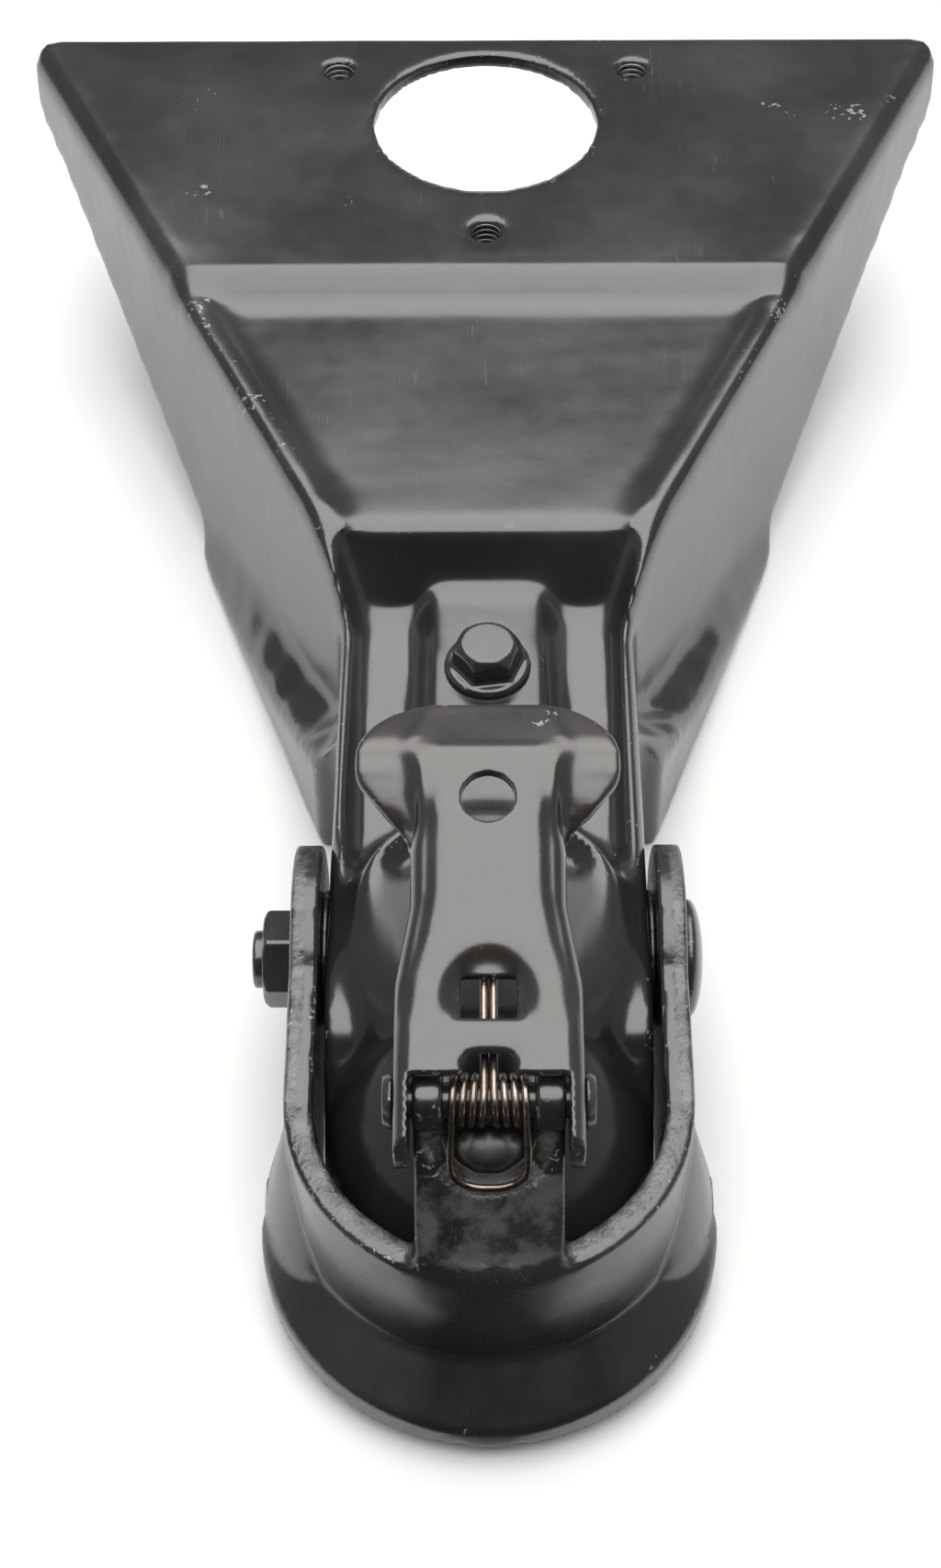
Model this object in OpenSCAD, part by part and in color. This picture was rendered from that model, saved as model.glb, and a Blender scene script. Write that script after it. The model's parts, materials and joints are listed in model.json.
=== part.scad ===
// Trailer coupling head with a yoke latch.
// The origin is the centre of the ball socket. The nose points to -Y,
// the jack plate lies towards +Y and +Z is up.

/* [Ball socket] */
// Diameter of the tow ball
ball_d = 58.7; // [50:0.1:60]
// Room round the ball in its socket
ball_gap = 0.45; // [0.3:0.05:1]
// Thickness of the pressed housing sheet
sheet_t = 4.8; // [3.5:0.1:6]
// Depth of the socket's front wall below the ball centre
socket_skirt = 11; // [6:0.5:16]

/* [Jack plate] */
// Height of the jack plate above the ball centre
pad_z = 44; // [38:0.5:52]
// Distance from the ball centre to the jack hole
hole_y = 298; // [280:1:320]
// Diameter of the jack hole
jack_d = 60.3; // [45:0.1:64]
// Diameter of the circle of the three jack screws
screw_pcd = 93.7; // [86:0.1:100]
// Bore of a jack screw hole
screw_hole_d = 7.94; // [6:0.02:10]
// Outer diameter of the drawn collar under a screw hole
screw_collar_d = 14; // [11:0.5:18]
// Depth of the drawn collar below the sheet
screw_collar_h = 4; // [2:0.5:8]
// Distance from the jack hole to the rear edge
rear_margin = 38; // [36:1:60]

/* [A-frame skirt] */
// Width across the rear edge, before its corners are rounded
rear_w = 258; // [245:1:270]
// Radius of the rounded rear corners
corner_r = 5.5; // [4:0.5:9]
// Angle of each side to the centre line
side_angle = 25; // [23:0.5:26]
// Outward lean of the side walls
wall_lean = 5.5; // [3:0.5:8]
// Outer bend radius between top and side wall
bend_r = 7; // [6.5:0.5:9]
// Height of the lower edge below the top at the rear
rear_drop = 15; // [10:1:24]
// Depth of the skirt below the ball centre
skirt_drop = 30; // [26:1:34]
// Distance from the ball centre to the step in the lower edge
jog_y = 208; // [195:1:220]
// Distance from the ball centre to the front end of the skirt
skirt_front_y = 106; // [98:1:115]
// Half width of the flared skirt at its front end
flare_front_half = 41; // [39:0.5:46]
// Half width of the flared skirt at the step
flare_rear_half = 79; // [77:0.5:81]
// Height of the outward bend of the skirt above its lower edge
flare_h = 19; // [15:0.5:21]

/* [Pressed panels] */
// Depth of the first step, to the middle panel
panel_depth = 6; // [4:0.5:9]
// Distance from the ball centre to the first step
panel_rear_y = 234; // [226:1:240]
// Distance from the ball centre to the second step
panel_front_y = 149; // [145:1:156]
// Width of the raised rail beside the panels
rail_w = 8; // [7:0.5:12]
// Drop of the rails in front of the first step
rail_drop = 3; // [1:0.5:5]
// Height of the channel deck above the ball centre, at its rear end
deck_z = 20; // [16:0.5:21]
// Forward slope of the channel deck
deck_slope = 4; // [0:0.5:6]
// Length of the sloping face of the second step
step_run = 12; // [8:1:18]
// Height of the channel's side ridges above the ball centre
ridge_z = 27; // [24:0.5:31]
// Width of each side ridge on the channel
ridge_w = 4; // [3:0.5:8]
// Width of the flat top of the raised boss
boss_top_w = 26; // [24:1:32]
// Width of the boss at its foot
boss_foot_w = 38; // [34:1:44]
// Height of the boss above the ball centre
boss_z = 25.5; // [23:0.5:30]
// Radius of the flat crown over the channel
crown_r = 28; // [24:0.5:28.5]
// Distance from the ball centre to the crown's centre
crown_y = 40; // [36:1:46]
// Height of the crown above the ball centre
crown_z = 32; // [29:0.5:33]

/* [Yoke] */
// Distance from the ball centre back to the pivot
pivot_y = 46; // [42:0.5:50]
// Height of the pivot above the ball centre
pivot_z = 6; // [2:0.5:10]
// Thickness of the yoke plate
yoke_t = 6; // [5:0.1:7]
// Clearance between the housing and the yoke's arms
yoke_gap = 1.5; // [1.2:0.1:2.5]
// Radius of the yoke's round ears
ear_r = 25; // [22:0.5:27]
// Height of the ring's top edge above the ball centre
ring_z = 21; // [17:0.5:23]
// Depth of the crease between the ring and the lip
crease_z = -11.5; // [-14:0.5:-9]
// Depth of the lip's edge below the ball centre
lip_z = -19; // [-22:0.5:-16]
// Width of the lip beyond the ring at the front
lip_front = 12.5; // [10:0.5:17]
// Width of the lip beyond the ring at the sides
lip_side = 6.5; // [5:0.5:10]
// Width of the tongue that carries the latch
tongue_w = 29.4; // [27:0.2:33]
// Backward lean of the tongue from upright
tongue_lean = 42; // [38:1:46]

/* [Latch] */
// Distance from the ball centre to the handle rivet, towards the nose
rivet_y = 18.2; // [15:0.2:20]
// Height of the handle rivet above the ball centre
rivet_z = 49; // [47:0.5:52]
// Diameter of the handle rivet
rivet_d = 7; // [6:0.1:7.4]
// Thickness of the handle sheet
handle_t = 2.8; // [2.2:0.1:3]
// Clearance between the tongue's ears and the handle's sides
handle_gap = 0.8; // [0.5:0.1:1.5]
// Upward slope of the handle towards its tab
handle_tilt = 15; // [10:0.5:17]
// Length from the rivet to the tab's rear edge
handle_len = 83; // [79:1:86]
// Width across the thumb tab
tab_w = 54; // [46:1:58]
// Width of the handle's neck
neck_w = 31; // [27:1:34]
// Diameter of the lock hole in the handle
lock_hole_d = 10.6; // [8:0.1:12]
// Distance from the rivet to the lock hole
lock_hole_at = 60; // [56:0.5:62]
// Width of the dish round the handle's window
dish_w = 19.8; // [17:0.2:21]
// Depth of the dish round the handle's window
dish_depth = 2.4; // [1.4:0.1:2.6]
// Width of the window in the dish
window_w = 11; // [8:0.5:12]
// Wire diameter of the latch spring
wire_d = 1.6; // [1.4:0.1:1.8]
// Distance from the rivet to the end of the spring's bail
bail_len = 17.7; // [16.5:0.1:19]

/* [Fasteners] */
// Diameter of the pivot bolt
pivot_d = 12.7; // [10:0.1:14]
// Diameter of the pivot bolt's round head
pivot_head_d = 26; // [22:0.5:28]
// Height of the pivot bolt's head
pivot_head_h = 4.8; // [3.5:0.1:6]
// Width across flats of the pivot nut
nut_af = 19; // [17:0.1:22]
// Height of the pivot nut
nut_h = 7; // [6:0.1:9]
// Diameter of the clamp bolt
clamp_d = 9.5; // [8:0.1:11]
// Flange diameter of the clamp bolt
clamp_flange_d = 20.5; // [18:0.5:23]
// Width across flats of the clamp bolt's head
clamp_af = 14.3; // [12:0.1:16]
// Height of the clamp bolt's head
clamp_head_h = 8.4; // [7:0.1:10]
// Height of the clamp bolt's lock nut
clamp_nut_h = 8.7; // [7:0.1:10]
// Distance from the ball centre to the clamp bolt
clamp_y = 115; // [110:1:120]
// Thickness of the foot of the ball clamp
clamp_foot_t = 9; // [7:0.5:11]
// Width of the ball clamp
clamp_w = 40; // [34:1:44]
// Running clearance of a pin in its bore, on the radius
pin_fit = 0.08; // [0.03:0.01:0.1]

/* [Hidden] */
$fn = 72;

eps = 0.01;
socket_r = ball_d / 2 + ball_gap;
dome_r = socket_r + sheet_t;
channel_half = dome_r;
rear_y = hole_y + rear_margin;
rear_half = rear_w / 2;
panel_z = pad_z - panel_depth;
lean_k = tan(wall_lean);
side_k = tan(side_angle);
far = 400;
deep = 60;
washer_t = 2.1;
ridge_top = ridge_z + 1;
arm_in = channel_half + yoke_gap;
arm_out = arm_in + yoke_t;
ear_half = tongue_w / 2;
ear_top_r = 6;
sleeve_r = pivot_d / 2 + 3.2;
clamp_top_z = pivot_z - sleeve_r - 0.3;
clamp_foot_z = clamp_top_z - clamp_foot_t;
clamp_end_z = clamp_foot_z - clamp_nut_h - 4.3;
clamp_nose_drop = 15;
clamp_hook_l = 14;
slot_half = ear_half - yoke_t;
lip_end_y = 16;
notch_at = 21;
handle_top = 9;
leg_r = 13;
dish_at = 12.6;
leg_in = ear_half + handle_gap;
leg_out = leg_in + handle_t;

// Half width of the A-frame at a place y, moved in by inset
function frame_half(y, inset) = rear_half - (rear_y - y) * side_k - inset / cos(side_angle);

// Points of an arc in a plane
function arc(cx, cy, r, a0, a1, n) = [for (i = [0 : n])
    let (a = a0 + (a1 - a0) * i / n) [cx + r * cos(a), cy + r * sin(a)]];

// Skin over a row of closed sections
module loft(rows) {
    m = len(rows[0]);
    k = len(rows);
    polyhedron(
        points = [for (r = rows) for (p = r) p],
        faces = concat(
            [[for (i = [0 : m - 1]) i]],
            [for (j = [0 : k - 2]) for (i = [0 : m - 1])
                let (a = j * m + i, b = j * m + (i + 1) % m) each [[a, a + m, b], [b, a + m, b + m]]],
            [[for (i = [m - 1 : -1 : 0]) (k - 1) * m + i]]),
        convexity = 10);
}

// Four corners of the A-frame's plan between two places, at a height z
function frame_ring(y0, y1, inset, z) = [[frame_half(y0, inset), y0, z], [frame_half(y1, inset), y1, z],
    [-frame_half(y1, inset), y1, z], [-frame_half(y0, inset), y0, z]];

// Four corners of any plan that is as wide as h0 at y0 and h1 at y1
function plan_ring(h0, y0, h1, y1, z) = [[h0, y0, z], [h1, y1, z], [-h1, y1, z], [-h0, y0, z]];

// Extrudes a side view, drawn as (y, z) points, across the width
module across(half) {
    rotate([90, 0, 90])
        translate([0, 0, -half])
            linear_extrude(2 * half)
                children();
}

// Extrudes a front view, drawn as (x, z) points, from y0 to y1
module along(y0, y1) {
    translate([0, y1, 0])
        rotate([90, 0, 0])
            linear_extrude(y1 - y0)
                children();
}

// A-frame block with a round bend at its top; g moves its surface inwards
module frame_block(g) {
    y0 = 100;
    y1 = rear_y + (g > 0 ? 20 : 0);
    bottom = -60;
    drop = pad_z - bend_r - bottom;
    loft(concat(
        [frame_ring(y0, y1, g - drop * lean_k, bottom)],
        [for (a = [0 : 22.5 : 90])
            frame_ring(y0, y1, bend_r - (bend_r - g) * cos(a), pad_z - bend_r + (bend_r - g) * sin(a))]));
}

// Mirrored closed ring from the points of its right side, given from front to rear
function both_sides(p) = concat(p, [for (i = [len(p) - 1 : -1 : 0]) [-p[i][0], p[i][1], p[i][2]]]);

// Half width of the flared skirt's lower edge at a place y
function flare_half(y) = flare_front_half
    + (flare_rear_half - flare_front_half) * (y - skirt_front_y) / (jog_y - skirt_front_y);

// Half width of the side wall at a place y and a height z
function wall_half(y, z, g) = frame_half(y, g) + (pad_z - bend_r - z) * lean_k;

// Lower skirt that bends out from the side wall and down again, in front of the step in the edge
module flare_block(g) {
    low = -skirt_drop;
    sink = 0.3;
    steps = 9;
    front = skirt_front_y + g;
    band_y = [for (i = [0 : steps]) front + (jog_y - front) * i / steps];
    band_z = [for (y = band_y) low
        + lookup(y - skirt_front_y, [[0, 31], [15, 24], [34, 16], [60, 8], [80, 4], [102, 1]])];
    bend_y = [for (i = [0 : steps]) front + (jog_y + 8 - front) * i / steps];
    bend_z = [for (y = bend_y) low - g * 0.4
        + lookup(y - skirt_front_y, [[0, 41], [12, 33], [26, flare_h + 4], [40, flare_h + 1], [80, flare_h],
            [96, flare_h - 5], [110, 7]])];
    bend_x = [for (i = [0 : steps]) max(channel_half - g - 1, wall_half(bend_y[i], bend_z[i], g) - sink)];
    loft([both_sides([for (i = [0 : steps]) [flare_half(band_y[i]) - g, band_y[i], low - 30]]),
        both_sides([for (i = [0 : steps]) [flare_half(band_y[i]) - g, band_y[i], band_z[i]]]),
        both_sides([for (i = [0 : steps]) [bend_x[i], bend_y[i], bend_z[i]]]),
        both_sides([for (i = [0 : steps]) [bend_x[i] - 8, bend_y[i], low + 34 - g]])]);
}

// Front view of the channel with two round top corners
module channel_section(g) {
    r = 6 - g * 0.8;
    polygon(concat(
        arc(channel_half - g - r, ridge_z - g - r, r, 0, 90, 6),
        arc(-channel_half + g + r, ridge_z - g - r, r, 90, 180, 6),
        [[-channel_half + g, -60], [channel_half - g, -60]]));
}

// Straight channel behind the dome, sloping down to it at the front
module channel_block(g) {
    intersection() {
        along(0, panel_front_y + 1)
            channel_section(g);
        across(far)
            polygon([[0, -80], [0, ridge_top - 24 - g], [dome_r / 2, ridge_top - 8 - g], [dome_r, ridge_top - 2 - g],
                [crown_y + 20, ridge_top - g], [far, ridge_top - g], [far, -80]]);
    }
}

// Ball dome with its round skirt and the flat crown behind it
module dome_block(g) {
    translate([0, 0, -60])
        cylinder(r = dome_r - g, h = 60);
    sphere(r = dome_r - g);
    intersection() {
        translate([0, crown_y, 0])
            cylinder(r1 = crown_r + 20 - g, r2 = crown_r - g, h = crown_z - g);
        translate([-channel_half + g, 0, -1])
            cube([2 * (channel_half - g), far, far]);
    }
}

// Raised boss under the clamp bolt
module boss_block(g) {
    y1 = panel_front_y - step_run + 8;
    foot_z = deck_z - (y1 - crown_y) * tan(deck_slope) / 2;
    along(crown_y, y1)
        polygon([[-boss_foot_w / 2 + g, deck_z - sheet_t - 5], [boss_foot_w / 2 - g, deck_z - sheet_t - 5],
            [boss_foot_w / 2 - g, foot_z - g], [boss_top_w / 2 - g / 2, boss_z - g],
            [-boss_top_w / 2 + g / 2, boss_z - g], [-boss_foot_w / 2 + g, foot_z - g]]);
}

// Smooth rise from 0 to 1
function ease(u) = 3 * u * u - 2 * u * u * u;

// Side view of everything that lies under the frame's top line
module top_profile(g) {
    rail_z = pad_z - rail_drop;
    low_z = ridge_top;
    y0 = panel_front_y - 37;
    y1 = panel_front_y + 9;
    y2 = panel_rear_y - 8;
    y3 = panel_rear_y + 6;
    polygon(concat(
        [[-far, -80], [-far, low_z - g]],
        [for (i = [0 : 8]) [y0 + (y1 - y0) * i / 8, low_z - g + (rail_z - low_z) * ease(i / 8)]],
        [for (i = [0 : 5]) [y2 + (y3 - y2) * i / 5, rail_z - g + rail_drop * ease(i / 5)]],
        [[rear_y + 40, pad_z - g], [rear_y + 40, -80]]));
}

// Side view of the space above the lower edge
module edge_profile() {
    polygon([[-60, -socket_skirt], [26, -socket_skirt], [44, -skirt_drop + 3],
        [skirt_front_y, -skirt_drop], [jog_y - 6, -skirt_drop], [jog_y + 8, -skirt_drop + 9],
        [rear_y, pad_z - rear_drop], [rear_y + 40, pad_z - rear_drop + 18],
        [rear_y + 40, 80], [-60, 80]]);
}

// Pocket over the middle panel; g grows it by the sheet thickness
module panel_pocket(g) {
    y0 = 120;
    loft([frame_ring(y0, panel_rear_y - panel_depth + g, rail_w - g, panel_z - g),
        frame_ring(y0, panel_rear_y + 1.5 + g, rail_w - 3.5 - g, pad_z + 1)]);
}

// Pocket over the channel deck, with the sloping face of the second step
module deck_pocket(g) {
    half = channel_half - ridge_w + g;
    y0 = crown_y - 5;
    y1 = panel_front_y - step_run + g;
    fall = (y1 - y0) * tan(deck_slope);
    loft([[[half - 1.5, y0, deck_z - fall - g], [half - 0.5, y1, deck_z - g],
            [-half + 0.5, y1, deck_z - g], [-half + 1.5, y0, deck_z - fall - g]],
        plan_ring(half + 0.8, y0, half + 6, panel_front_y + g, panel_z + 1)]);
}

// Solid form of the housing; g moves its whole surface inwards
module housing_form(g) {
    difference() {
        intersection() {
            union() {
                frame_block(g);
                channel_block(g);
            }
            across(far)
                top_profile(g);
        }
        panel_pocket(g);
        deck_pocket(g);
    }
    flare_block(g);
    dome_block(g);
    boss_block(g);
}

// Plan of the whole housing with its rear corners rounded
module plan_outline() {
    lean = (rear_drop - bend_r) * lean_k;
    half = rear_half + lean;
    reach = corner_r / tan((90 - side_angle) / 2);
    mid_x = half - reach;
    arm = [for (i = [0 : 8]) let (a = 90 - (90 + side_angle) * i / 8)
        [mid_x + corner_r * cos(a), rear_y - corner_r + corner_r * sin(a)]];
    polygon(concat(
        [[-half, -60], [half, -60], [half, rear_y - 3 * corner_r]],
        [for (i = [8 : -1 : 0]) arm[i]],
        [for (p = arm) [-p[0], p[1]]],
        [[-half, rear_y - 3 * corner_r]]));
}

// Places copies on the circle of the jack screws
module at_screws() {
    for (a = [0 : 120 : 240])
        translate([0, hole_y, 0])
            rotate([0, 0, a - 90])
                translate([screw_pcd / 2, 0, 0])
                    children();
}

// Turns a part made along Z so that it lies on the pivot axis
module on_pivot() {
    translate([0, pivot_y, pivot_z])
        rotate([0, 90, 0])
            children();
}

// Pressed housing: ball dome, channel, stepped panels and A-frame skirt
module coupler_body() {
    color([0.10, 0.10, 0.11])
    difference() {
        union() {
            difference() {
                intersection() {
                    housing_form(0);
                    across(far)
                        edge_profile();
                    translate([0, 0, -deep])
                        linear_extrude(2 * deep)
                            plan_outline();
                }
                housing_form(sheet_t);
            }
            at_screws()
                translate([0, 0, pad_z - sheet_t - screw_collar_h])
                    cylinder(d = screw_collar_d, h = screw_collar_h + 1);
        }
        translate([0, hole_y, pad_z - 30])
            cylinder(d = jack_d, h = deep);
        at_screws()
            cylinder(d = screw_hole_d, h = deep);
        on_pivot()
            cylinder(d = pivot_d + 2 * pin_fit, h = far, center = true);
        translate([0, clamp_y, 0])
            cylinder(d = clamp_d + 2 * pin_fit, h = deep);
    }
}

// Rear seat for the ball, hung from the clamp bolt and hooked under the sleeve
module ball_clamp() {
    nose_y = 8;
    low_z = -socket_skirt - clamp_nose_drop;
    hook_y = pivot_y - sleeve_r - 2.4;
    color([0.16, 0.16, 0.17])
    difference() {
        across(clamp_w / 2)
            polygon([[nose_y, low_z], [socket_r, low_z], [clamp_y - clamp_w / 2, clamp_foot_z],
                [clamp_y + clamp_d + 2.5, clamp_foot_z], [clamp_y + clamp_d + 2.5, clamp_top_z],
                [hook_y, clamp_top_z], [hook_y, pivot_z + 4], [hook_y - clamp_hook_l, pivot_z + 4], [nose_y, 0]]);
        sphere(r = socket_r + 0.2);
        translate([0, clamp_y, -deep])
            cylinder(d = clamp_d + 1, h = 2 * deep);
    }
}

// Hexagon by its width across flats
module hex(af, h) {
    cylinder(d = af / cos(30), h = h, $fn = 6);
}

// Flange bolt that holds the ball clamp up under the boss
module clamp_bolt() {
    color([0.12, 0.12, 0.13])
    translate([0, clamp_y, boss_z + 0.1]) {
        cylinder(d1 = clamp_flange_d, d2 = clamp_flange_d - 1.5, h = 1.8);
        intersection() {
            rotate([0, 0, 8])
                hex(clamp_af, clamp_head_h);
            cylinder(d1 = clamp_af * 1.9, d2 = clamp_af * 0.86, h = clamp_head_h);
        }
        translate([0, 0, clamp_end_z - boss_z])
            cylinder(d = clamp_d, h = boss_z - clamp_end_z + 0.5);
    }
}

// Plain washer under the clamp
module clamp_washer() {
    color([0.45, 0.45, 0.46])
    translate([0, clamp_y, clamp_foot_z - washer_t - 0.1])
        difference() {
            cylinder(d = clamp_flange_d, h = washer_t);
            translate([0, 0, -1])
                cylinder(d = clamp_d + 1, h = washer_t + 2);
        }
}

// Lock nut under the clamp washer
module clamp_nut() {
    color([0.45, 0.45, 0.46])
    translate([0, clamp_y, clamp_foot_z - washer_t - 0.2 - clamp_nut_h])
        difference() {
            hex(clamp_af, clamp_nut_h);
            translate([0, 0, -1])
                cylinder(d = clamp_d + 2 * pin_fit, h = clamp_nut_h + 2);
        }
}

// Spacer tube that keeps the channel's walls apart
module pivot_sleeve() {
    half = channel_half - sheet_t - 0.1;
    color([0.45, 0.45, 0.46])
    on_pivot()
        difference() {
            cylinder(r = sleeve_r, h = 2 * half, center = true);
            cylinder(d = pivot_d + 2 * pin_fit, h = far, center = true);
        }
}

// Pivot bolt with a low round head
module pivot_bolt() {
    head_r = pivot_head_d / 2;
    color([0.12, 0.12, 0.13])
    on_pivot() {
        translate([0, 0, -arm_out - nut_h - 2.5])
            cylinder(d = pivot_d, h = 2 * arm_out + nut_h + 3);
        translate([0, 0, arm_out + 0.1])
            rotate_extrude()
                polygon(concat([[0, 0], [head_r - 0.8, 0], [head_r, 0.8], [head_r, 1.8]],
                    [for (i = [1 : 6]) let (a = 15 * i)
                        [head_r * cos(a), 1.8 + (pivot_head_h - 1.8) * sin(a)]]));
    }
}

// Hexagon nut on the pivot bolt
module pivot_nut() {
    color([0.12, 0.12, 0.13])
    on_pivot()
        translate([0, 0, -arm_out - 0.1 - nut_h])
            difference() {
                intersection() {
                    rotate([0, 0, 16])
                        hex(nut_af, nut_h);
                    cylinder(d1 = nut_af * 1.0, d2 = nut_af * 2.2, h = nut_h);
                }
                translate([0, 0, -1])
                    cylinder(d = pivot_d + 2 * pin_fit, h = nut_h + 2);
            }
}

// Thin washers between the channel's walls and the yoke's arms
module pivot_washers() {
    color([0.45, 0.45, 0.46])
    on_pivot()
        for (side = [-1, 1])
            translate([0, 0, side * (channel_half + (yoke_gap - 0.1) / 2)])
                difference() {
                    cylinder(d = pivot_head_d + 4, h = yoke_gap - 0.3, center = true);
                    cylinder(d = pivot_d + 2 * pin_fit, h = 10, center = true);
                }
}

// Plan of a U that passes round the nose
module nose_outline(r) {
    circle(r = r);
    translate([-r, 0])
        square([2 * r, far]);
}

// Side view of the yoke's arms and round ears
module arm_profile() {
    union() {
        polygon([[-60, crease_z - 3], [-60, ring_z], [-6, ring_z], [-2, ring_z + 2],
            [pivot_y - 16, pivot_z + ear_r - 6], [pivot_y, pivot_z + ear_r - 1], [pivot_y, pivot_z - ear_r + 2],
            [14, crease_z - 3]]);
        translate([pivot_y, pivot_z])
            circle(r = ear_r);
    }
}

// Circle of points at a height z, centred at (0, y)
function disc_ring(r, y, z) = [for (i = [0 : 71]) [r * cos(5 * i), y + r * sin(5 * i), z]];

// Flared solid under the lip's upper face, moved down by drop
module lip_solid(drop) {
    edge_c = (pow(arm_out + lip_front, 2) - pow(arm_out + lip_side, 2)) / (2 * (arm_out + lip_front));
    edge_r = arm_out + lip_front - edge_c;
    low = lip_z - yoke_t - 1;
    loft([disc_ring(edge_r, -edge_c, low - drop),
        disc_ring(edge_r, -edge_c, lip_z - drop),
        disc_ring(arm_out - 0.8, 0, crease_z + 1.5 - drop)]);
}

// Point at a length along the tongue and a depth below its outer face
function tongue_at(s, d) = [-arm_out + s * sin(tongue_lean) + d * cos(tongue_lean),
    ring_z - 2 + s * cos(tongue_lean) - d * sin(tongue_lean)];

// Side view of the leaning tongue
module tongue_profile(s) {
    polygon([[-arm_out, 0], tongue_at(0, 0), tongue_at(s, 0), tongue_at(s, yoke_t),
        tongue_at(1, yoke_t), [-arm_in, ring_z - 6], [-arm_in, 0]]);
}

// Circle of points on the tongue, centred at a length s and a height z over its face
function notch_ring(r, s, z) = [for (i = [0 : 35]) [r * cos(10 * i), s + r * sin(10 * i), z]];

// Round bottomed slot between the tongue's ears, with a bevelled rim; x is width, y runs up the tongue
module tongue_notch() {
    centre = notch_at + slot_half;
    bevel_d = 3;
    translate([0, centre, -deep])
        linear_extrude(2 * deep)
            union() {
                circle(r = slot_half);
                translate([-slot_half, 0])
                    square([2 * slot_half, deep]);
            }
    intersection() {
        loft([notch_ring(slot_half - 0.3, centre, -bevel_d), notch_ring(ear_half - 1, centre + 2.5, 0.1)]);
        translate([-far, -far + centre + 1.3, -deep])
            cube([2 * far, far, 2 * deep]);
    }
}

// One formed plate: two ears, the ring round the nose, the lip and the tongue
module yoke() {
    color([0.11, 0.11, 0.12])
    difference() {
        union() {
            difference() {
                union() {
                    intersection() {
                        translate([0, 0, -deep])
                            linear_extrude(2 * deep)
                                nose_outline(arm_out);
                        across(far)
                            arm_profile();
                    }
                    difference() {
                        lip_solid(0);
                        lip_solid(yoke_t + 0.8);
                        translate([-far / 2, lip_end_y, -deep])
                            cube([far, far, 2 * deep]);
                    }
                }
                translate([0, 0, -deep - 10])
                    linear_extrude(2 * deep + 20)
                        nose_outline(arm_in);
            }
            intersection() {
                across(ear_half)
                    tongue_profile(18);
                linear_extrude(2 * deep)
                    nose_outline(arm_out);
            }
            across(ear_half)
                union() {
                    translate([-rivet_y, rivet_z])
                        circle(r = ear_top_r);
                    polygon([tongue_at(14, 0), tongue_at(30, 0), [-rivet_y, rivet_z],
                        tongue_at(32, yoke_t + 3), tongue_at(14, yoke_t)]);
                }
        }
        translate([0, -arm_out, ring_z - 2])
            rotate([90 - tongue_lean, 0, 0])
                tongue_notch();
        translate([0, -rivet_y, rivet_z])
            rotate([0, 90, 0])
                cylinder(d = rivet_d + 2 * pin_fit, h = 60, center = true);
        on_pivot()
            cylinder(d = pivot_d + 2 * pin_fit, h = far, center = true);
    }
}

// Rivet through the tongue's ears and the handle's sides, with its two heads
module handle_rivet() {
    color([0.20, 0.19, 0.18])
    translate([0, -rivet_y, rivet_z])
        rotate([0, 90, 0]) {
            cylinder(d = rivet_d, h = 2 * leg_out + 2, center = true);
            for (side = [-1, 1])
                rotate([side > 0 ? 0 : 180, 0, 0])
                    translate([0, 0, leg_out + 0.15])
                        cylinder(d1 = rivet_d + 4.5, d2 = rivet_d + 2.5, h = 2);
        }
}

// Turns a part made along the handle to its place: x is width, y runs to the tab
module on_handle() {
    translate([0, -rivet_y, rivet_z])
        rotate([handle_tilt, 0, 0])
            children();
}

// Half section of the handle's outer face at a length u, from crown to foot
function handle_half(u) = let (
    flat = lookup(u, [[0, 13.2], [8, 12.8], [22, 11], [38, 8.4], [58, 8.4], [66, 9.5], [71, 16], [84, 10]]),
    neck = lookup(u, [[0, leg_out], [22, leg_out], [27, leg_out - 0.8], [38, neck_w / 2],
        [50, neck_w / 2], [56, neck_w / 2 - 1], [66, 14], [71, 18], [84, 12]]),
    fall = lookup(u, [[0, 3.5], [8, 3.8], [22, 5.5], [50, 5.5], [60, 5], [66, 4], [71, 0.6], [84, 0.4]]),
    rim = lookup(u, [[0, leg_out], [22, leg_out], [27, leg_out - 0.8], [38, neck_w / 2],
        [52, neck_w / 2], [56, neck_w / 2 + 3], [60, tab_w / 2 - 5], [64, tab_w / 2 - 1.2],
        [67, tab_w / 2], [73, tab_w / 2 - 0.5], [78, tab_w / 2 - 4], [81, tab_w / 2 - 8], [84, tab_w / 2 - 14]]),
    foot = lookup(u, [[-20, handle_top + leg_r + 1], [2, handle_top + leg_r + 1], [3, handle_top + leg_r - 0.4],
        [6, handle_top + leg_r - 1.5], [10, handle_top + leg_r - 4.5], [14, 14.5], [22, 12.5], [38, 11.5],
        [50, 10.5], [56, 7], [60, 5.6],
        [66, 4.6], [71, 1.2], [84, 1]]))
    [[0, 0], [flat, 0], [flat + 0.38 * (neck - flat), -0.08 * fall],
        [flat + 0.71 * (neck - flat), -0.29 * fall], [flat + 0.92 * (neck - flat), -0.62 * fall],
        [neck, -fall],
        [max(neck, rim) - (rim > neck ? 1.5 : 0), -max(fall + 0.2, foot - (rim > neck ? 0.1 : 4))],
        [max(neck, rim) + 0.02, -max(fall + 0.3, foot)]];

// Unit normal that points into the sheet at point i of a half section
function inward(p, i) = let (
    last = len(p) - 1,
    wing = min(1, max(0, (p[last][0] - p[last - 2][0]) / 6)),
    a = p[max(i - 1, 0)], b = p[min(i + 1, last)],
    t = i == 0 ? [1, 0] : (b - a) / norm(b - a))
    i >= last - 1 ? [wing - 1, -wing] / norm([wing - 1, wing]) : [t[1], -t[0]];

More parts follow.
